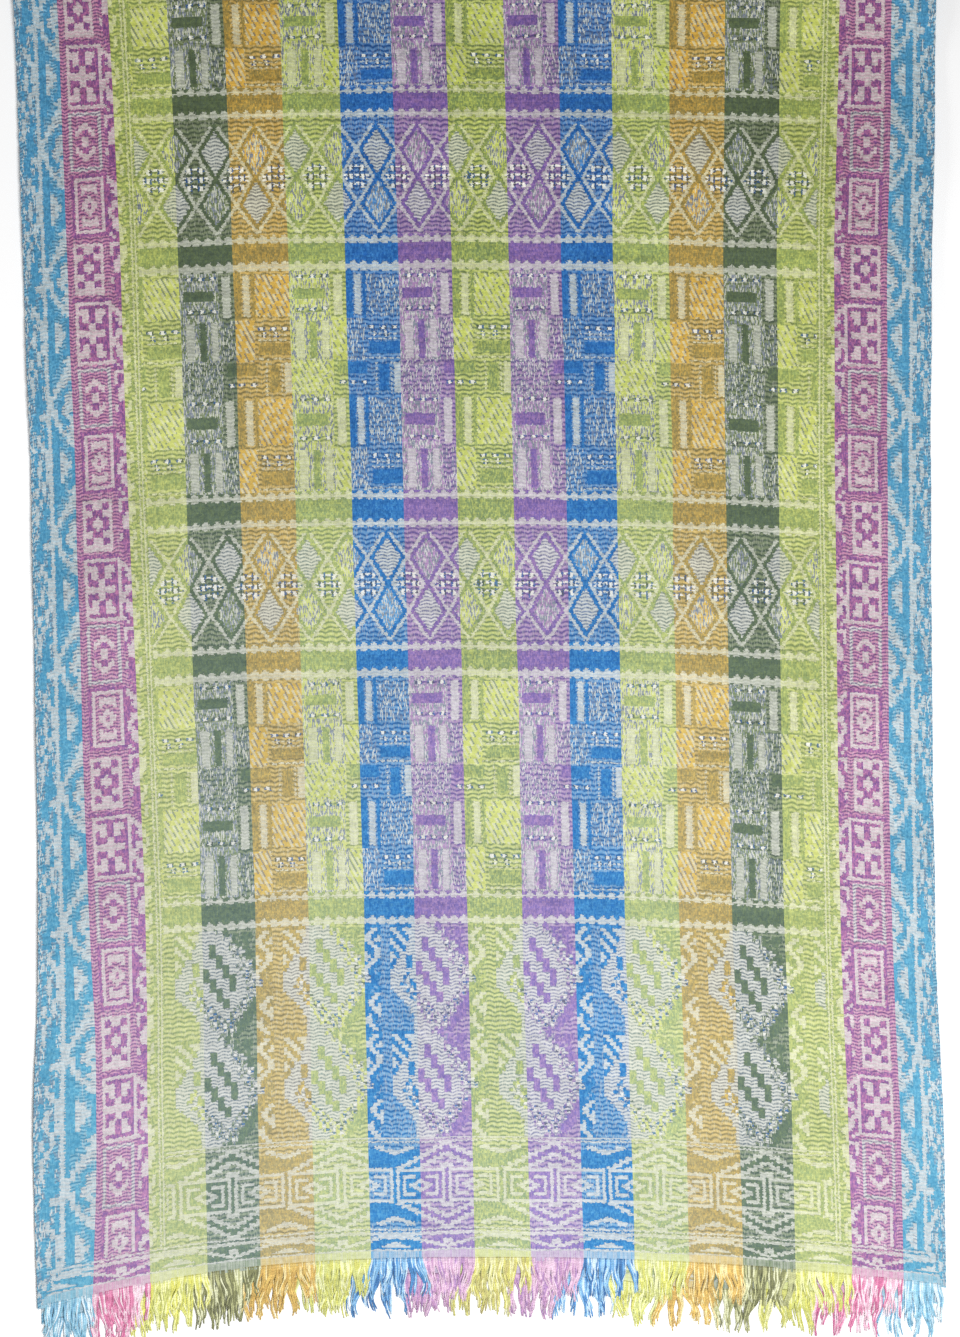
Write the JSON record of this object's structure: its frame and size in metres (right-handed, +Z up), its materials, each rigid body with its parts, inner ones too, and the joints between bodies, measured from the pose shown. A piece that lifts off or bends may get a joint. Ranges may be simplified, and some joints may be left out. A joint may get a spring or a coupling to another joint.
{
  "type": "jamawar shawl",
  "caption": "Long striped jamawar shawl with patterned bands, key borders and a yarn fringe along each end, folded in half and laid flat.",
  "frame": {"origin": "centre of the whole lying shawl, on the surface that it lies on", "axes": "+Y towards the fold, +X to the right of someone facing the fold, +Z up"},
  "size_m": [0.7246, 1.0764, 0.007],
  "materials": {
    "woven_cloth": "soft jacquard weave in striped yarns with a cream weft",
    "fringe_yarn": "loose twisted yarn, coloured like the stripe above it"
  },
  "bodies": {
    "root": {"shawl_cloth": "woven_cloth", "fringe_upper": "fringe_yarn", "fringe_lower": "fringe_yarn"}
  },
  "joints": []
}
